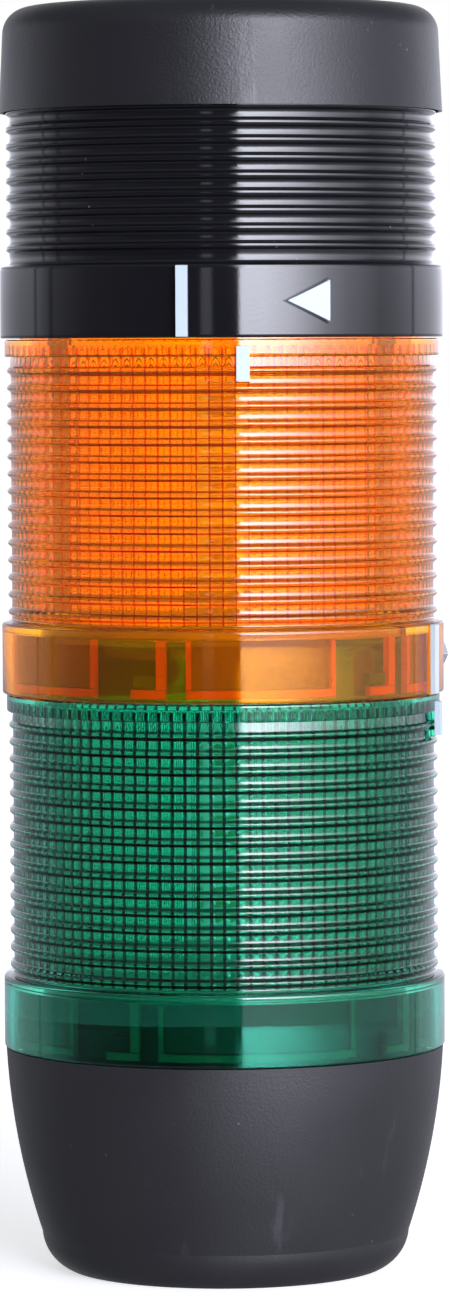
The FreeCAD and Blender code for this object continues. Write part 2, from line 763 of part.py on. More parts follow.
def build():
    base_housing()
    base_gasket()
    terminal_plate()
    terminal_block()
    base_screws()
    first = S.base_height
    second = first + S.module_pitch
    third = second + S.module_pitch
    crest = first + S.carrier_under - S.strip_thick - S.tip_gap
    contact_strips("base_contact_spring", S.plate_height + S.plate_thick, crest, 0)
    lamp_module("green", first, GREEN_TURN, ORANGE_TURN - GREEN_TURN)
    lamp_module("orange", second, ORANGE_TURN, SOUNDER_TURN - ORANGE_TURN)
    sounder_housing(third, SOUNDER_TURN, CAP_TURN - SOUNDER_TURN)
    sounder_parts(third)
    cap(third + S.sounder_pitch, CAP_TURN)


def write_steps():
    """Check every object and write each sub-part to parts/."""
    doc.recompute()
    for thing in doc.Objects:
        if "Invalid" in thing.State or "Error" in thing.State:
            raise RuntimeError(f"{thing.Name} failed: {thing.State}")
    os.makedirs("parts", exist_ok=True)
    for thing in SUBPARTS:
        if thing.Shape.isNull() or not thing.Shape.isValid():
            raise RuntimeError(f"{thing.Label} has a bad shape")
        thing.Shape.exportStep(f"parts/{thing.Label}.step")
        print(f"{thing.Label}: {len(thing.Shape.Solids)} solids, {thing.Shape.Volume:.1f} mm3")


build()
write_steps()
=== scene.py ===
import json
import math
import bpy
import numpy as np
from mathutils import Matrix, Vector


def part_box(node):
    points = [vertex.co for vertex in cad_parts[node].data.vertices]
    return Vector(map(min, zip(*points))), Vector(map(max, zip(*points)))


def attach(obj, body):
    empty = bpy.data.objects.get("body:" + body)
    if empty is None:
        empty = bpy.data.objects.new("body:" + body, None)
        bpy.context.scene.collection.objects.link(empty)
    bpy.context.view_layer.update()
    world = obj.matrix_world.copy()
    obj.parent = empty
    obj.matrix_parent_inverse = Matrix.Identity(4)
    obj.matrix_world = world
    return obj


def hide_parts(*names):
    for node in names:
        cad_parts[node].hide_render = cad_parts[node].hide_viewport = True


# Stack light: looks for the base, the two lens modules, the sounder module and the cap.
# Metres, origin at the centre of the underside, +Z up, the front faces -Y.
# Shapes are worked out in millimetres and put into their meshes in metres.
# Angles about the column are counted from the front towards +X, in degrees.

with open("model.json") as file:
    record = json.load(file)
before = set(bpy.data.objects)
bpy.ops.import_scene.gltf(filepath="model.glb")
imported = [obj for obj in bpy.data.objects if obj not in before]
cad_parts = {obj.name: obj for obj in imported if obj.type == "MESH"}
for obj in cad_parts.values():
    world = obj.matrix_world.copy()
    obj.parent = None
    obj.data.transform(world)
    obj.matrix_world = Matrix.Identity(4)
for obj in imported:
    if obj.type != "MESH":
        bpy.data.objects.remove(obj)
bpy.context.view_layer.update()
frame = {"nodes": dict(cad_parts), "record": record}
MM = 0.001

# Column sizes, in millimetres, as the solids have them.
BODY = 35.0
SKIRT_INNER = 33.4
BAND_HEIGHT = 11.2
WEB_UNDER = 9.7
WEB_INNER = 29.0
WALL_OUTER = 33.4
WALL_INNER = 31.4
FLARE_HEIGHT = 0.8
RIM = 34.35
NECK_OUTER = 32.0
NECK_INNER = 30.2
NECK_HEIGHT = 9.6
LUG_OUTER = 33.1
LUG_LOW, LUG_HIGH = 2.55, 4.45
LEDGE_INNER = 32.4
LEDGE_LOW, LEDGE_HIGH = 0.7, 2.05
RIM_WEB = 0.9
MARK_OUTER = 36.0
TAB_OUTER = 35.2
SEAT_GAP = 0.2
LENS_HEIGHT = 56.0
RIDGE_PITCH = 2.72
RIDGES = 15
SOUNDER_HEIGHT = 36.7
SOUNDER_PITCH = 2.68
SOUNDER_RIDGES = 9

# Sizes of what the solids leave out, in millimetres.
RIM_HEIGHT = 2.7            # with the eased edge under the rim; the solid's rim is 2.1
RIDGE_DROP = 4.82           # from a lens's top down to the middle of its highest ridge
SOUNDER_DROP = 1.0          # the same on the sounder
FIT = 0.01                  # gap between a small part and the moulding that carries it
BLOCK_GAP = 0.02            # gap above and below a block in the skirt
LINE_BACK, ARROW_BACK = 0.2, 0.3    # moulded thickness under a mark's white face
TAB_BACK = 34.3             # radius where a tab's white face starts

# How each stage is turned, and where the bayonet's parts sit from its line mark.
TURNS = {"green": 140.5, "orange": 68.5, "sounder": -9.8, "cap": -81.8}
LUG_ANGLES = (-169.5, -89.7, -23.4, 81.5)
LUG_SPAN = 6.0
ENTRY_SPAN = 11.0
STOP_PLAY = 0.5
STOP_SPAN = 2.5
FRAME_GAP = 5.5
FRAME_SPAN = 1.3
ARROW_TIP, ARROW_BASE = 25.6, 37.6
ARROW_HALF = 3.5
TAB_ANGLE = -63.2

# Upright prisms inside a lens: how many, how deep, and half the width of the line of painted shade
# between two.
PRISMS = 100
PRISM_DEPTH = {"orange": 0.4, "green": 1.0}
PRISM_SHADE_LINE_HALF = {"orange": 0.13, "green": 0.26}


# Surfaces

def add_piece(name, points, faces, smooth_below=None):
    """A piece from points in millimetres. Edges bent less than smooth_below degrees are smooth."""
    mesh = bpy.data.meshes.new(name)
    mesh.from_pydata((points.reshape(-1, 3) * MM).tolist(), [], faces)
    if smooth_below is not None:
        mesh.polygons.foreach_set("use_smooth", [True] * len(mesh.polygons))
        mesh.set_sharp_from_angle(angle=math.radians(smooth_below))
    piece = bpy.data.objects.new(name, mesh)
    bpy.context.scene.collection.objects.link(piece)
    return piece


def faces_along(loops, closed, first=0):
    """Faces of a surface from loops[i, j]: point j of a closed outline at station i of its path.

    The path closes on itself, or both ends get a flat cap. first is the first point's number."""
    stations, corners = loops.shape[:2]
    index = first + np.arange(stations * corners).reshape(stations, corners)
    following = np.roll(index, -1, axis=0) if closed else index[1:]
    here = index if closed else index[:-1]
    quads = np.stack([
        here, following, np.roll(following, -1, axis=1), np.roll(here, -1, axis=1)], axis=-1)
    faces = quads.reshape(-1, 4).tolist()
    if not closed:
        faces += [index[0].tolist(), index[-1][::-1].tolist()]
    return faces


def solid(name, loops, closed=False):
    """One closed surface as a piece."""
    return add_piece(name, loops, faces_along(loops, closed), smooth_below=28)


def joined(name, blocks):
    """Several small blocks of one moulding as one piece with flat faces."""
    faces, count = [], 0
    for loops in blocks:
        faces += faces_along(loops, False, count)
        count += loops.shape[0] * loops.shape[1]
    return add_piece(name, np.concatenate([loops.reshape(-1, 3) for loops in blocks]), faces)


def about_column(radius, height, angle):
    """Points at a radius and height, turned about the column: (r sin a, -r cos a, z)."""
    turn = np.radians(angle)
    return np.stack([radius * np.sin(turn), -radius * np.cos(turn), height], axis=-1)


def carried_round(outline, angles):
    """An outline of (radius, height) points at each of the angles about the column."""
    outline = np.array(outline, float)
    return about_column(*np.broadcast_arrays(outline[:, 0], outline[:, 1], angles[:, None]))


def sector(inner, outer, start, end, low, high, ease=0.15):
    """A block between two radii and two angles with eased long edges.

    low and high are heights, or arrays of heights at even steps from start to end."""
    stations = len(low) if hasattr(low, "__len__") else max(3, int(abs(end - start) / 1.5) + 2)
    angles = np.linspace(start, end, stations)[:, None]
    low = np.broadcast_to(np.reshape(low, (-1, 1)), (stations, 1))
    high = np.broadcast_to(np.reshape(high, (-1, 1)), (stations, 1))
    ease = np.minimum(ease, (high - low) * 0.3)
    radius = np.concatenate([
        np.full((stations, 1), inner), outer - ease, np.full((stations, 1), outer),
        np.full((stations, 1), outer), outer - ease, np.full((stations, 1), inner)], axis=1)
    height = np.concatenate([low, low, low + ease, high - ease, high, high], axis=1)
    return about_column(radius, height, angles)


def round_corner(corner, before, after, size, steps=4):
    """Points of a round that replaces a corner: a quadratic curve between two edge points."""
    corner, before, after = (np.array(p, float) for p in (corner, before, after))
    start = corner + (before - corner) / np.linalg.norm(before - corner) * size
    end = corner + (after - corner) / np.linalg.norm(after - corner) * size
    t = np.linspace(0, 1, steps)[:, None]
    return ((1 - t) ** 2 * start + 2 * t * (1 - t) * corner + t ** 2 * end).tolist()


def eased(corners, sizes):
    """A closed outline whose corners are rounded by the given sizes; zero keeps a corner sharp."""
    points = []
    for number, (corner, size) in enumerate(zip(corners, sizes)):
        if size == 0:
            points.append(list(corner))
        else:
            following = corners[(number + 1) % len(corners)]
            points += round_corner(corner, corners[number - 1], following, size)
    return points


# One ridge and the hollow above it: rise from the ridge's middle, and radius past the wall's.
RIDGE_SECTION = (
    (-0.62, 0.12), (-0.5, 0.26), (-0.4, 0.44), (-0.25, 0.56), (0.0, 0.6), (0.25, 0.56), (0.4, 0.44),
    (0.5, 0.26), (0.62, 0.12), (0.72, 0.055), (0.85, 0.02), (1.05, 0.004), (1.36, 0.0),
    (1.67, 0.004), (1.87, 0.02), (2.0, 0.055))
HOLLOW_POINTS = 7           # the hollow above the highest ridge, left out for what is on top


def ridged(highest, pitch, count):
    """Points up the wall over all its ridges, the highest one centred on highest."""
    points = []
    for number in range(count - 1, -1, -1):
        middle = highest - number * pitch
        points += [[WALL_OUTER + out, middle + rise] for rise, out in RIDGE_SECTION]
    return points[:-HOLLOW_POINTS]


def shell_outside(base, top, ridges, has_rim):
    """Outside of a stage: from the web's inner edge down round the skirt, up the wall and the neck.

    A point beside each rounded edge of the band and the rim keeps the smooth face there flat."""
    shoulder = base + BAND_HEIGHT
    points = [[WEB_INNER, shoulder], [WEB_INNER, base + WEB_UNDER], [SKIRT_INNER, base + WEB_UNDER]]
    points += eased(
        [(SKIRT_INNER, base), (BODY, base), (BODY, base + 0.5), (BODY, shoulder - 0.6),
         (BODY, shoulder), (WALL_OUTER + 0.1, shoulder + 0.25),
         (WALL_OUTER, shoulder + FLARE_HEIGHT)],
        [0.15, 0.3, 0, 0, 0.4, 0.35, 0])
    points += ridges
    if has_rim:
        under = top - RIM_HEIGHT
        points += eased(
            [(WALL_OUTER, under), (RIM, under), (RIM, under + 0.5), (RIM, top - 0.5), (RIM, top)],
            [0, 0.3, 0, 0, 0.3])[:-1]
        points.append([RIM - 0.3, top])
    else:
        points.append([WALL_OUTER, top])
    neck_top = top + NECK_HEIGHT
    return points + [
        [NECK_OUTER, top], [NECK_OUTER, neck_top - 0.3], [NECK_OUTER - 0.3, neck_top],
        [NECK_INNER, neck_top], [NECK_INNER, top - RIM_WEB]]


# One prism across: where its points lie, as shares of its width, and how far each is off the wall.
PRISM_SHARES = (0.0, 0.17, 0.33, 0.5, 0.67, 0.83)
PRISM_CUTS = (0.06, 0.0, -0.045, -0.06, -0.045, 0.0)


def fluted_wall(name, outside, low, high, turn, depth):
    """A lens wall: the outside turned about the column, and an inner wall of upright prisms.

    Each prism is a shallow pillow, six columns wide. The outside has two columns to a prism, so two
    flat rings of six-sided faces join it to the inner wall's first and last row."""
    coarse = np.arange(PRISMS * 2) * 180 / PRISMS + turn
    fine = ((np.arange(PRISMS)[:, None] + PRISM_SHARES) * 360 / PRISMS).ravel() + turn
    outer = carried_round(outside, coarse)
    heights = np.array([high, high - 0.3, low + 0.3, low])
    cut = np.tile(PRISM_CUTS, PRISMS)[:, None] * np.array([0, depth, depth, 0])
    inner = about_column(WALL_INNER + cut, *np.broadcast_arrays(heights, fine[:, None]))
    columns, rows = outer.shape[:2]
    outer_index = np.arange(columns * rows).reshape(columns, rows)
    inner_index = np.arange(len(fine) * 4).reshape(-1, 4) + outer_index.size
    faces = []
    for index in (outer_index, inner_index):
        beside = np.roll(index, -1, axis=0)
        quads = np.stack([index[:, :-1], beside[:, :-1], beside[:, 1:], index[:, 1:]], axis=-1)
        faces += quads.reshape(-1, 4).tolist()
    beside = np.roll(outer_index, -1, axis=0)
    first, last = inner_index[:, 0].reshape(-1, 3), inner_index[:, -1].reshape(-1, 3)
    first_end, last_end = np.roll(first[:, 0], -1), np.roll(last[:, 0], -1)
    faces += np.stack([outer_index[:, -1], beside[:, -1], first_end, first[:, 2], first[:, 1],
                       first[:, 0]], axis=-1).tolist()
    faces += np.stack([last[:, 0], last[:, 1], last[:, 2], last_end, beside[:, 0],
                       outer_index[:, 0]], axis=-1).tolist()
    points = np.concatenate([outer.reshape(-1, 3), inner.reshape(-1, 3)])
    return add_piece(name, points, faces, smooth_below=40)


# Materials

def node(tree, kind, inputs=None, **settings):
    """A node with its settings. An input given a socket is linked, and any other is set."""
    made = tree.nodes.new(kind)
    for name, value in settings.items():
        setattr(made, name, value)
    for name, value in (inputs or {}).items():
        if isinstance(value, bpy.types.NodeSocket):
            tree.links.new(value, made.inputs[name])
        else:
            made.inputs[name].default_value = value
    return made


def calc(tree, kind, first, second=0.0):
    """The result of one step of arithmetic."""
    return node(tree, "ShaderNodeMath", {0: first, 1: second}, operation=kind).outputs[0]


def spread(tree, value, low, high, to_low=0.0, to_high=1.0, **settings):
    """A value from low to high brought to one from to_low to to_high, and held past the ends."""
    return node(tree, "ShaderNodeMapRange", {
        "Value": value, "From Min": low, "From Max": high, "To Min": to_low, "To Max": to_high},
        **settings).outputs[0]


def within(tree, distance, half, soft):
    """1 where a distance is less than half, 0 where it is more, over an edge of that softness."""
    return spread(tree, distance, calc(tree, "MULTIPLY", half, 1 + soft),
                  calc(tree, "MULTIPLY", half, 1 - soft))


def mix_colour(tree, factor, first, second, kind="MIX"):
    """Two colours mixed, multiplied or added. Each is a socket or a plain colour."""
    made = node(tree, "ShaderNodeMix", data_type="RGBA", blend_type=kind)
    for number, value in ((0, factor), (6, first), (7, second)):
        socket = made.inputs[number]
        if isinstance(value, bpy.types.NodeSocket):
            tree.links.new(value, socket)
        elif isinstance(value, tuple):
            socket.default_value = (*value, 1.0)
        else:
            socket.default_value = value
    return made.outputs[2]


def surface_group():
    """Shared surface effects, 0 to 1: fine grain, soft blotches, thin scuffs and rare specks."""
    tree = bpy.data.node_groups.new("moulded_surface", "ShaderNodeTree")
    for name, start in (("Grain Scale", 2500.0), ("Blotch Scale", 60.0), ("Scuff Scale", 90.0)):
        socket = tree.interface.new_socket(name, in_out="INPUT", socket_type="NodeSocketFloat")
        socket.default_value = start
    for name in ("Grain", "Blotch", "Scuff", "Speck"):
        tree.interface.new_socket(name, in_out="OUTPUT", socket_type="NodeSocketFloat")
    given = tree.nodes.new("NodeGroupInput").outputs
    result = tree.nodes.new("NodeGroupOutput").inputs
    place = tree.nodes.new("ShaderNodeTexCoord").outputs["Object"]
    grain = node(tree, "ShaderNodeTexNoise", {
        "Vector": place, "Scale": given["Grain Scale"], "Detail": 3.0, "Roughness": 0.6})
    blotch = node(tree, "ShaderNodeTexNoise", {
        "Vector": place, "Scale": given["Blotch Scale"], "Detail": 4.0, "Roughness": 0.55})
    stretched = node(tree, "ShaderNodeMapping", {
        "Vector": place, "Scale": (1.0, 1.0, 0.12), "Rotation": (0.5, 0.3, 0.0)})
    scratch = node(tree, "ShaderNodeTexNoise", {
        "Vector": stretched.outputs[0], "Scale": given["Scuff Scale"], "Detail": 6.0,
        "Roughness": 0.7})
    dots = node(tree, "ShaderNodeTexVoronoi", {"Vector": place, "Scale": 420.0})
    dot = spread(tree, dots.outputs["Distance"], 0.09, 0.05)
    rare = spread(tree, blotch.outputs["Fac"], 0.6, 0.66)
    tree.links.new(grain.outputs["Fac"], result["Grain"])
    tree.links.new(blotch.outputs["Fac"], result["Blotch"])
    tree.links.new(spread(tree, scratch.outputs["Fac"], 0.62, 0.72), result["Scuff"])
    tree.links.new(calc(tree, "MULTIPLY", dot, rare), result["Speck"])
    return tree


# Lines on a ridge: how far above its middle, and half the width of a plain line, in millimetres.
# The foot lines are painted shade in the creases at each ridge's feet.
RIDGE_LINES = {"Upper Foot": (0.50, 0.155), "Lower Foot": (-0.50, 0.19), "Crest": (0.0, 0.4)}
# The rim's ring of painted shade: its height in pitches above the lowest ridge, and half its width.
RIM_SHADE_RING, RIM_SHADE_RING_HALF = 15.12, 0.27       # height in pitches above the lowest ridge


def grid_group():
    """Lines across a lens: the feet and the crest of each ridge, and a dark ring on the rim. The
    foot lines and the ring are painted shade.

    A line is where the height comes near the line's own height above or below a ridge's middle.
    The ring is cut by light ticks where the angle about the column is half-way between grooves."""
    tree = bpy.data.node_groups.new("lens_grid", "ShaderNodeTree")
    for name in ("Turn", "First Ridge", "Line Width"):
        tree.interface.new_socket(name, in_out="INPUT", socket_type="NodeSocketFloat")
    for name in (*RIDGE_LINES, "Rim"):
        tree.interface.new_socket(name, in_out="OUTPUT", socket_type="NodeSocketFloat")
    given = tree.nodes.new("NodeGroupInput").outputs
    result = tree.nodes.new("NodeGroupOutput").inputs
    place = node(tree, "ShaderNodeSeparateXYZ", {
        "Vector": tree.nodes.new("ShaderNodeTexCoord").outputs["Object"]}).outputs
    angle = calc(tree, "ARCTAN2", place["X"], calc(tree, "MULTIPLY", place["Y"], -1.0))
    along = calc(tree, "MULTIPLY", calc(tree, "SUBTRACT", angle, given["Turn"]),
                 PRISMS / (2 * math.pi))
    off_groove = calc(tree, "PINGPONG", calc(tree, "ADD", along, PRISMS * 2.0), 0.5)
    reach = calc(tree, "SQRT", calc(
        tree, "ADD", calc(tree, "MULTIPLY", place["X"], place["X"]),
        calc(tree, "MULTIPLY", place["Y"], place["Y"])))
    outside = calc(tree, "GREATER_THAN", reach, (WALL_OUTER - 0.3) * MM)
    pitches = calc(tree, "DIVIDE", calc(tree, "SUBTRACT", place["Z"], given["First Ridge"]),
                   RIDGE_PITCH * MM)
    off_middle = calc(tree, "SUBTRACT", calc(tree, "FRACT", calc(tree, "ADD", pitches, 0.5)), 0.5)
    on_ridges = calc(tree, "MULTIPLY", calc(tree, "GREATER_THAN", pitches, -0.4),
                     calc(tree, "LESS_THAN", pitches, RIDGES - 0.6))
    on_ridges = calc(tree, "MULTIPLY", outside, on_ridges)
    for name, (rise, half) in RIDGE_LINES.items():
        away = calc(tree, "ABSOLUTE", calc(tree, "SUBTRACT", off_middle, rise / RIDGE_PITCH))
        wide = calc(tree, "MULTIPLY", given["Line Width"], half / RIDGE_PITCH)
        tree.links.new(calc(tree, "MULTIPLY", within(tree, away, wide, 0.3), on_ridges),
                       result[name])
    # The rim's ring of painted shade, broken by light ticks.
    off_ring = calc(tree, "ABSOLUTE", calc(tree, "SUBTRACT", pitches, RIM_SHADE_RING))
    ring = calc(tree, "MULTIPLY", within(tree, off_ring, RIM_SHADE_RING_HALF, 0.12), outside)
    tick = within(tree, calc(tree, "SUBTRACT", 0.5, off_groove), 0.12, 0.5)
    tree.links.new(calc(tree, "MULTIPLY", ring, calc(tree, "SUBTRACT", 1.0, tick)), result["Rim"])
    return tree


SURFACE = surface_group()
GRID = grid_group()
LENS_BASES = {colour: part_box(f"{colour}_lens")[0].z / MM for colour in ("green", "orange")}


def finish_of(name, colour, other, roughness, grain=0.0, scuff=None, speck=None, **shader):
    """A moulded or metal finish: blotchy colour, grain bump, scuffs and specks, varied roughness.

    shader sets plain numbers on the shader's own sockets."""
    material = bpy.data.materials.new(name)
    material.use_nodes = True
    tree = material.node_tree
    principled = tree.nodes["Principled BSDF"]
    marks = node(tree, "ShaderNodeGroup", node_tree=SURFACE).outputs
    base = mix_colour(tree, marks["Blotch"], colour, other)
    if scuff is not None:
        base = mix_colour(tree, marks["Scuff"], base, scuff)
    if speck is not None:
        base = mix_colour(tree, marks["Speck"], base, speck)
    tree.links.new(base, principled.inputs["Base Color"])
    rough = spread(tree, marks["Blotch"], 0.3, 0.7, roughness * 0.9, roughness * 1.1)
    tree.links.new(rough, principled.inputs["Roughness"])
    if grain:
        bump = node(tree, "ShaderNodeBump", {
            "Height": marks["Grain"], "Strength": grain, "Distance": 0.0001})
        tree.links.new(bump.outputs[0], principled.inputs["Normal"])
    for socket, value in shader.items():
        principled.inputs[socket.replace("_", " ")].default_value = value
    return material


def seen_on_edge(material, colour, low, high):
    """Turns a finish toward another colour where its surface is seen on edge; gives how far."""
    tree = material.node_tree
    socket = tree.nodes["Principled BSDF"].inputs["Base Color"]
    edge = spread(tree, node(tree, "ShaderNodeLayerWeight").outputs["Facing"], low, high)
    tree.links.new(mix_colour(tree, edge, socket.links[0].from_socket, colour), socket)
    return edge


def clear_finish(stage, colour, other, deep, line, crest, line_width, fade, rim, clear):
    """Clear coloured plastic whose near wall carries painted shade: dark lines along its ridges and
    rim.

    Where the wall is seen on edge, its colour turns to deep and its painted shade lines fade by
    fade. rim is the strength of the rim's painted shade ring, and clear is how much light the
    plastic lets through."""
    material = finish_of(f"{stage}_lens_plastic", colour, other, 0.012, Transmission_Weight=clear,
                         IOR=1.55)
    tree = material.node_tree
    base_colour = tree.nodes["Principled BSDF"].inputs["Base Color"]
    edge = seen_on_edge(material, deep, 0.4, 0.8)
    tinted = base_colour.links[0].from_socket
    lowest = LENS_BASES[stage] + LENS_HEIGHT - SEAT_GAP - RIDGE_DROP - RIDGE_PITCH * (RIDGES - 1)
    grid = node(tree, "ShaderNodeGroup", node_tree=GRID)
    grid.inputs["Turn"].default_value = math.radians(TURNS[stage])
    grid.inputs["First Ridge"].default_value = lowest * MM
    grid.inputs["Line Width"].default_value = line_width
    path = tree.nodes.new("ShaderNodeLightPath").outputs
    near = calc(tree, "LESS_THAN", path["Transmission Depth"], 1.5)
    near = calc(tree, "MULTIPLY", near, spread(tree, edge, 0.0, 1.0, 1.0, 1.0 - fade))
    # Painted shade on the near wall: the foot lines and the rim ring in the line colour, and the
    # crest in its own tint.
    for mark, tint, strength in (
            ("Crest", crest, 1.0), ("Upper Foot", line, 0.8), ("Lower Foot", line, 1.0),
            ("Rim", line, rim)):
        share = calc(tree, "MULTIPLY", grid.outputs[mark], strength)
        tinted = mix_colour(tree, calc(tree, "MULTIPLY", share, near), tinted, tint)
    tree.links.new(tinted, base_colour)
    return material


# One finish for each material slot of the record, and for the parts of a lens that differ from it.
FINISHES = {
    "cap_plastic": finish_of(
        "cap_matte_plastic", (0.010, 0.010, 0.012), (0.014, 0.0135, 0.016), 0.36, grain=0.6,
        scuff=(0.07, 0.07, 0.072), speck=(0.16, 0.16, 0.16)),
    "base_plastic": finish_of(
        "base_matte_plastic", (0.012, 0.0115, 0.014), (0.017, 0.016, 0.019), 0.48, grain=0.5,
        scuff=(0.04, 0.04, 0.045), speck=(0.12, 0.12, 0.12), Specular_IOR_Level=0.6),
    "sounder_plastic": finish_of(
        "sounder_gloss_plastic", (0.004, 0.004, 0.005), (0.007, 0.007, 0.009), 0.07, grain=0.03,
        speck=(0.12, 0.12, 0.12)),
    # line is the colour of the painted shade along the ridges' feet and round the rim.
    "orange_clear": clear_finish(
        "orange", (1.0, 0.42, 0.004), (1.0, 0.46, 0.008), deep=(1.0, 0.25, 0.02),
        line=(0.75, 0.04, 0.0), crest=(1.0, 0.40, 0.02), line_width=0.9, fade=0.7, rim=0.35,
        clear=0.95),
    "green_clear": clear_finish(
        "green", (0.05, 0.54, 0.37), (0.065, 0.58, 0.40), deep=(0.006, 0.12, 0.13),
        line=(0.0, 0.002, 0.0005), crest=(0.05, 0.5, 0.35), line_width=1.6, fade=0.0, rim=0.6,
        clear=1.0),
    # Sheets behind the skirt's frames: painted shade for the dim inside seen through the skirt.
    "orange_skin": finish_of("orange_frame_skin", (0.20, 0.10, 0.05), (0.12, 0.05, 0.03), 0.45),
    "green_skin": finish_of("green_frame_skin", (0.03, 0.05, 0.045), (0.02, 0.03, 0.025), 0.45),
    # Thin bars at the grooves between the prisms: painted shade, standing for the dark lines the
    # grooves show.
    "orange_edge": finish_of(
        "orange_prism_shade_line", (0.80, 0.12, 0.01), (0.72, 0.10, 0.01), 0.2,
        Transmission_Weight=0.95, IOR=1.05),
    "green_edge": finish_of("green_prism_shade_line", (0.02, 0.03, 0.025), (0.015, 0.025, 0.02), 0.5),
    "orange_lens_plastic": finish_of(
        "orange_lug_plastic", (1.0, 0.20, 0.02), (1.0, 0.24, 0.03), 0.15,
        Transmission_Weight=0.45, IOR=1.55),
    "green_lens_plastic": finish_of(
        "green_lug_plastic", (0.02, 0.24, 0.15), (0.04, 0.32, 0.2), 0.15,
        Transmission_Weight=0.45, IOR=1.55),
    "mark_white": finish_of("mark_print", (0.54, 0.62, 0.68), (0.48, 0.57, 0.64), 0.6, grain=0.3),
    "inner_plastic": finish_of(
        "carrier_plastic", (0.75, 0.75, 0.72), (0.68, 0.68, 0.64), 0.4, grain=0.3),
    "terminal_plastic": finish_of(
        "terminal_plastic", (0.10, 0.28, 0.14), (0.08, 0.24, 0.12), 0.45, grain=0.3),
    "screw_steel": finish_of(
        "screw_steel", (0.62, 0.62, 0.60), (0.5, 0.5, 0.49), 0.3, grain=0.1, Metallic=1.0),
    "contact_brass": finish_of(
        "contact_brass", (0.78, 0.57, 0.25), (0.66, 0.46, 0.2), 0.28, grain=0.1, Metallic=1.0),
    # The white board glows a little: painted light that brightens the inside seen through a lens.
    "board_white": finish_of(
        "lamp_board_painted_glow", (0.90, 0.90, 0.88), (0.86, 0.86, 0.84), 0.35, Emission_Strength=0.25),
    "board_green": finish_of(
        "sounder_board_green", (0.03, 0.16, 0.07), (0.04, 0.19, 0.08), 0.3,
        speck=(0.5, 0.5, 0.45)),
    "chip_plastic": finish_of("lamp_chip", (0.85, 0.75, 0.35), (0.8, 0.7, 0.3), 0.3),
    "gasket_rubber": finish_of(
        "gasket_rubber", (0.02, 0.02, 0.02), (0.03, 0.03, 0.03), 0.8, grain=0.5),
    "part_black": finish_of(
        "component_black", (0.02, 0.02, 0.022), (0.03, 0.03, 0.03), 0.4, grain=0.2),
}
# The painted shade lines between the orange prisms lighten as they turn away.
seen_on_edge(FINISHES["orange_edge"], (1.0, 0.35, 0.02), 0.05, 0.4)


def dress(piece, slot, body, finish=None):
    """Gives a piece the named finish, or else its record slot's finish, and the body it rides on.
    """
    piece.data.materials.clear()
    piece.data.materials.append(FINISHES[finish or slot])
    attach(piece, body)
    return piece


# Stages

def bayonet_blocks(base, top, turn, neck_turn):
    """Ledges, stops and frames inside a skirt and lugs on the neck above, and thin sheets of
    painted shade behind the frames.
    """
    blocks, painted_shade_sheets = [], []
    floor_high, web_low = base + LEDGE_HIGH + BLOCK_GAP, base + WEB_UNDER - BLOCK_GAP
    for number, angle in enumerate(LUG_ANGLES):
        entry_end = angle - LUG_SPAN / 2 - STOP_PLAY
        stop_end = angle + LUG_SPAN / 2 + STOP_PLAY + STOP_SPAN
        following = LUG_ANGLES[(number + 1) % len(LUG_ANGLES)]
        following += 360 if following < angle else 0
        start = stop_end + FRAME_GAP
        end = following - LUG_SPAN / 2 - STOP_PLAY - ENTRY_SPAN
        spans = [
            (entry_end, stop_end, base + LEDGE_LOW, base + LEDGE_HIGH),
            (start, end, base + LEDGE_LOW, base + LEDGE_HIGH),
            (stop_end - STOP_SPAN, stop_end, floor_high, web_low),
            (start, start + FRAME_SPAN, floor_high, web_low),
            (end - FRAME_SPAN, end, floor_high, web_low)]
        for first, last, low, high in spans:
            blocks.append(sector(
                LEDGE_INNER, SKIRT_INNER - FIT, first + turn, last + turn, low, high))
        # Between two frames, a thin sheet of painted shade: the dim inside seen through the skirt.
        painted_shade_sheets.append(sector(
            LEDGE_INNER + 0.05, LEDGE_INNER + 0.3, start + FRAME_SPAN + BLOCK_GAP + turn,
            end - FRAME_SPAN - BLOCK_GAP + turn, floor_high, web_low))
        middle = angle + neck_turn
        blocks.append(sector(NECK_OUTER + FIT, LUG_OUTER, middle - LUG_SPAN / 2,
                             middle + LUG_SPAN / 2, top + LUG_LOW, top + LUG_HIGH))
    return blocks, painted_shade_sheets


def arrow(name, inner, outer, base, turn, inset):
    """The arrow mark: a triangle laid round the skirt, its tip nearer the line mark.

    Its half height grows evenly from the tip to the base. inset draws its edges in."""
    start, end = ARROW_TIP + turn + inset * 2.0, ARROW_BASE + turn - inset * 0.8
    reach = (ARROW_HALF - inset) * np.linspace(0.02, 1, 14)
    centre = base + BAND_HEIGHT / 2
    return solid(name, sector(inner, outer, start, end, centre - reach, centre + reach, 0.05))


def marks(stage, base, turn, body, slot, finish):
    """The raised line and arrow of a stage, each with its white face."""
    half = math.degrees(1.0 / BODY)
    line = sector(BODY + FIT, BODY + LINE_BACK, turn - half, turn + half, base, base + BAND_HEIGHT)
    dress(solid(f"{stage}_line_mark", line), slot, body, finish)
    face = sector(BODY + LINE_BACK + FIT, MARK_OUTER, turn - half * 0.86, turn + half * 0.86,
                  base + 0.15, base + BAND_HEIGHT - 0.15, 0.1)
    dress(solid(f"{stage}_line_print", face), slot, body, "mark_white")
    back = arrow(f"{stage}_arrow_mark", BODY + FIT, BODY + FIT + ARROW_BACK, base, turn, 0.0)
    dress(back, slot, body, finish)
    face = arrow(f"{stage}_arrow_print", BODY + ARROW_BACK + 2 * FIT, MARK_OUTER, base, turn, 0.35)
    dress(face, slot, body, "mark_white")


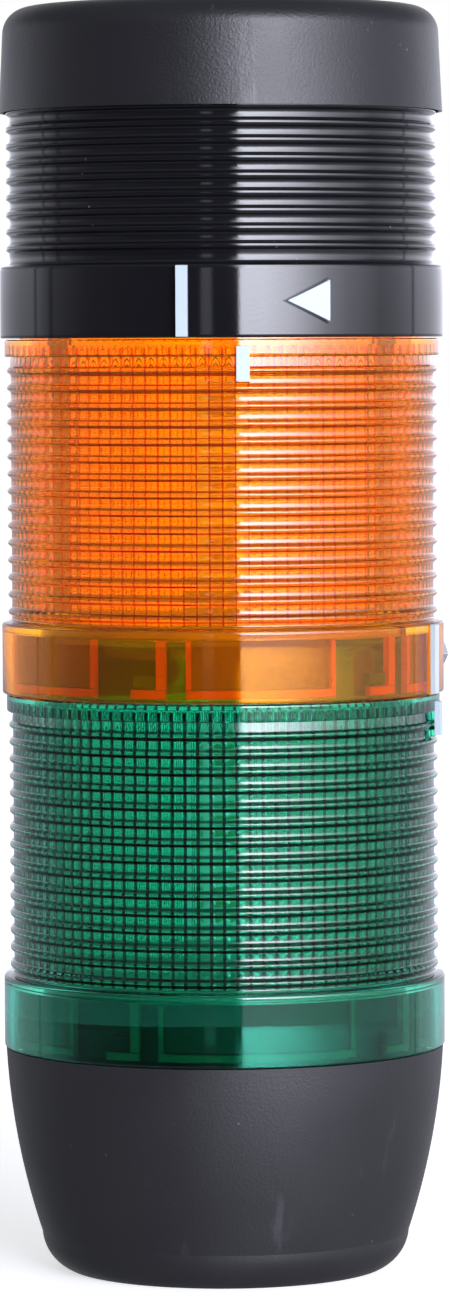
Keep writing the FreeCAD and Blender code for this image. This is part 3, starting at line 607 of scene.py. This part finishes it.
def lens_module(colour, neck_turn):
    """A lens in clear plastic with its blocks, marks and tab."""
    name = f"{colour}_lens"
    base = LENS_BASES[colour]
    top = base + LENS_HEIGHT - SEAT_GAP
    turn = TURNS[colour]
    body = f"{colour}_module"
    slot = f"{colour}_lens_plastic"
    clear = f"{colour}_clear"
    outside = shell_outside(base, top, ridged(top - RIDGE_DROP, RIDGE_PITCH, RIDGES), True)
    wall = fluted_wall(f"{colour}_ribbed_wall", outside, base + BAND_HEIGHT, top - RIM_WEB, turn,
                       PRISM_DEPTH[colour])
    dress(wall, slot, body, clear)
    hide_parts(name)
    # Thin bars at the grooves between the prisms: painted shade lines.
    half = math.degrees(PRISM_SHADE_LINE_HALF[colour] / WALL_INNER)
    edges = [sector(WALL_INNER - 0.12, WALL_INNER - 0.02, middle - half, middle + half,
                    base + BAND_HEIGHT + 0.4, top - RIM_WEB - 0.4, 0.02)
             for middle in np.arange(PRISMS) * 360 / PRISMS + turn]
    dress(joined(f"{colour}_prism_shade_lines", edges), slot, body, f"{colour}_edge")
    blocks, painted_shade_sheets = bayonet_blocks(base, top, turn, neck_turn)
    dress(joined(f"{colour}_bayonet_blocks", blocks), slot, body)
    dress(joined(f"{colour}_frame_painted_shade_sheets", painted_shade_sheets), slot, body, f"{colour}_skin")
    marks(colour, base, turn, body, slot, clear)
    half = math.degrees(1.15 / TAB_OUTER)
    middle = TAB_ANGLE + turn
    tab = sector(WALL_OUTER + FIT, TAB_BACK, middle - half, middle + half, top - 6.7, top - 1.0)
    dress(solid(f"{colour}_tab", tab), slot, body, clear)
    face = sector(TAB_BACK + FIT, TAB_OUTER, middle - half * 0.88, middle + half * 0.88,
                  top - 6.45, top - 1.1, 0.06)
    dress(solid(f"{colour}_tab_print", face), slot, body, "mark_white")


def sounder_module():
    """The black module: band, ridges and neck in one turned moulding, with blocks and marks."""
    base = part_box("sounder_housing")[0].z / MM
    top = base + SOUNDER_HEIGHT - SEAT_GAP
    turn = TURNS["sounder"]
    ridges = ridged(top - SOUNDER_DROP, SOUNDER_PITCH, SOUNDER_RIDGES)
    outline = shell_outside(base, top, ridges, False)
    outline += [[WALL_INNER, top - RIM_WEB], [WALL_INNER, base + BAND_HEIGHT]]
    wall = solid("sounder_ribbed_wall", carried_round(outline, np.arange(240) * 1.5), closed=True)
    dress(wall, "sounder_plastic", "sounder_module")
    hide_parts("sounder_housing")
    blocks, painted_shade_sheets = bayonet_blocks(base, top, turn, TURNS["cap"])
    dress(joined("sounder_bayonet_blocks", blocks + painted_shade_sheets), "sounder_plastic", "sounder_module")
    marks("sounder", base, turn, "sounder_module", "sounder_plastic", None)


def dress_solids():
    """Every solid that still shows takes the finish of its own record slot."""
    slots = {s["node"]: s["material_slot"] for s in frame["record"]["subparts"]}
    for name, thing in frame["nodes"].items():
        slot = slots.get(name)
        if slot in FINISHES:
            thing.data.materials.clear()
            thing.data.materials.append(FINISHES[slot])


# Studio

SEEN_THROUGH_LENS = (1.5, 1.5, 1.52)    # what lies behind the column, for rays that pass a lens
FLOOR_SEEN, FLOOR_THROUGH_LENS = 0.62, 1.1  # the floor's glow for the camera and for those rays


def ring_of(tree, share, peak, stops, half=180):
    """Light round the horizon or up from it: strengths at given angles between -half and half."""
    ring = node(tree, "ShaderNodeValToRGB", {"Fac": share})
    ramp = ring.color_ramp
    for number, (angle, strength) in enumerate(stops):
        place = (angle + half) / (2 * half)
        if number in (0, len(stops) - 1):
            stop = ramp.elements[0 if number == 0 else -1]
        else:
            stop = ramp.elements.new(place)
        stop.position = place
        stop.color = (strength / peak, strength / peak, strength / peak, 1.0)
    cool_white = (peak * 0.98, peak * 0.99, peak * 1.06)
    return mix_colour(tree, 1.0, ring.outputs["Color"], cool_white, "MULTIPLY")


def studio_light():
    """A soft dome, a long softbox at the front right, a dark left front and a white sheet behind.

    The camera sees plain white. Rays that pass a lens towards the back see a bright backdrop."""
    world = bpy.data.worlds.new("studio")
    bpy.context.scene.world = world
    world.use_nodes = True
    tree = world.node_tree
    direction = node(tree, "ShaderNodeSeparateXYZ", {
        "Vector": tree.nodes.new("ShaderNodeTexCoord").outputs["Generated"]}).outputs
    azimuth = calc(tree, "ARCTAN2", direction["X"], calc(tree, "MULTIPLY", direction["Y"], -1.0))
    elevation = calc(tree, "ARCSINE", direction["Z"])
    turned = spread(tree, azimuth, -math.pi, math.pi)
    raised = spread(tree, elevation, -math.pi / 4, math.pi / 4)

    # Angles from the front, with the strength there: the room, then the softbox low and high.
    room = ring_of(tree, turned, 2.0, [
        (-180, 1.0), (-160, 0.72), (-127, 0.78), (-114.2, 0.9), (-112.6, 0.1), (-111, 0.85),
        (-100.8, 0.45), (-99.2, 0.04), (-97.6, 0.42), (-73, 0.16), (-43, 0.07), (-26, 0.05),
        (9, 0.07), (64, 0.9), (81, 0.9), (100, 1.0), (116.4, 1.25), (118, 0.15), (119.6, 1.3),
        (124, 1.4), (160, 1.35), (180, 1.1)])
    box_low = ring_of(tree, turned, 40.0, [
        (-180, 0.0), (-10.6, 0.0), (-9.8, 0.95), (-5, 0.95), (-4.2, 0.0), (8.8, 0.0), (9.4, 14.5),
        (22, 14.0), (34, 11.0), (45, 7.0), (56, 3.2), (68, 1.5), (90, 0.0), (180, 0.0)])
    box_high = ring_of(tree, turned, 25.0, [
        (-180, 0.0), (5, 0.0), (8, 2.5), (10, 9.0), (13, 13.5), (22, 12.0), (34, 9.0), (45, 6.2),
        (56, 3.4), (68, 1.6), (90, 0.0), (180, 0.0)])
    # Angles from level upwards, with the share of the softbox and of the room there.
    box_share = ring_of(tree, raised, 2.0, [
        (-45, 0.0), (-30, 0.0), (-8, 0.05), (-3.4, 0.11), (-1.5, 0.25), (-0.6, 0.95), (0.6, 1.05),
        (1.2, 1.2), (20, 1.2), (34, 0.0), (45, 0.0)], half=45)
    room_share = ring_of(tree, raised, 2.0, [
        (-45, 0.5), (-1.5, 0.55), (-0.3, 1.0), (0.4, 1.0), (1.0, 1.5), (2.2, 1.5), (3.5, 1.0),
        (45, 1.0)], half=45)

    above = spread(tree, elevation, math.radians(1.5), math.radians(6))
    softbox = mix_colour(tree, above, box_low, box_high)
    softbox = mix_colour(tree, 1.0, box_share, softbox, "MULTIPLY")
    steepness = calc(tree, "ABSOLUTE", direction["Z"])
    dome = spread(tree, steepness, math.sin(math.radians(6)), math.sin(math.radians(20)),
                  interpolation_type="SMOOTHSTEP")
    behind = spread(tree, direction["Y"], 0.72, 0.9)
    sheet = mix_colour(tree, behind, (0.20, 0.21, 0.23), (0.6, 0.6, 0.62))
    walls = mix_colour(tree, 1.0, room, room_share, "MULTIPLY")
    light = mix_colour(tree, 1.0, mix_colour(tree, dome, walls, sheet), softbox, "ADD")

    path = tree.nodes.new("ShaderNodeLightPath").outputs
    through = calc(tree, "MULTIPLY", spread(tree, direction["Y"], -0.05, 0.25),
                   path["Is Transmission Ray"])
    light = mix_colour(tree, through, light, SEEN_THROUGH_LENS)
    light = mix_colour(tree, path["Is Camera Ray"], light, (1.0, 1.0, 1.0))
    tree.links.new(light, tree.nodes["Background"].inputs["Color"])


def floor():
    """A plain white floor that keeps the soft shadow under the base."""
    mesh = bpy.data.meshes.new("floor")
    side = 4.0
    mesh.from_pydata([(-side, -side, 0), (side, -side, 0), (side, side, 0), (-side, side, 0)], [],
                     [(0, 1, 2, 3)])
    plane = bpy.data.objects.new("floor", mesh)
    bpy.context.scene.collection.objects.link(plane)
    material = bpy.data.materials.new("floor_white")
    material.use_nodes = True
    tree = material.node_tree
    principled = tree.nodes["Principled BSDF"]
    principled.inputs["Base Color"].default_value = (0.88, 0.88, 0.88, 1.0)
    principled.inputs["Roughness"].default_value = 0.7
    principled.inputs["Emission Color"].default_value = (1.0, 1.0, 1.0, 1.0)
    path = node(tree, "ShaderNodeLightPath").outputs
    seen = calc(tree, "MULTIPLY", path["Is Camera Ray"], FLOOR_SEEN)
    through = calc(tree, "MULTIPLY", path["Is Transmission Ray"], FLOOR_THROUGH_LENS)
    tree.links.new(calc(tree, "ADD", through, seen), principled.inputs["Emission Strength"])
    mesh.materials.append(material)
    plane.visible_glossy = False


def camera():
    """A long lens level with the sounder's lower edge, tilted down to the column's middle."""
    data = bpy.data.cameras.new("camera")
    data.lens = 163.52
    data.sensor_width = 36.0
    view = bpy.data.objects.new("camera", data)
    bpy.context.scene.collection.objects.link(view)
    view.location = (0.0, -0.930, 0.1476)
    view.rotation_euler = (math.radians(90 - 3.015), math.radians(0.27), math.radians(-0.0335))
    bpy.context.scene.camera = view


lens_module("green", TURNS["orange"])
lens_module("orange", TURNS["sounder"])
sounder_module()
dress_solids()
studio_light()
floor()
camera()
bpy.context.scene.view_settings.view_transform = "Standard"
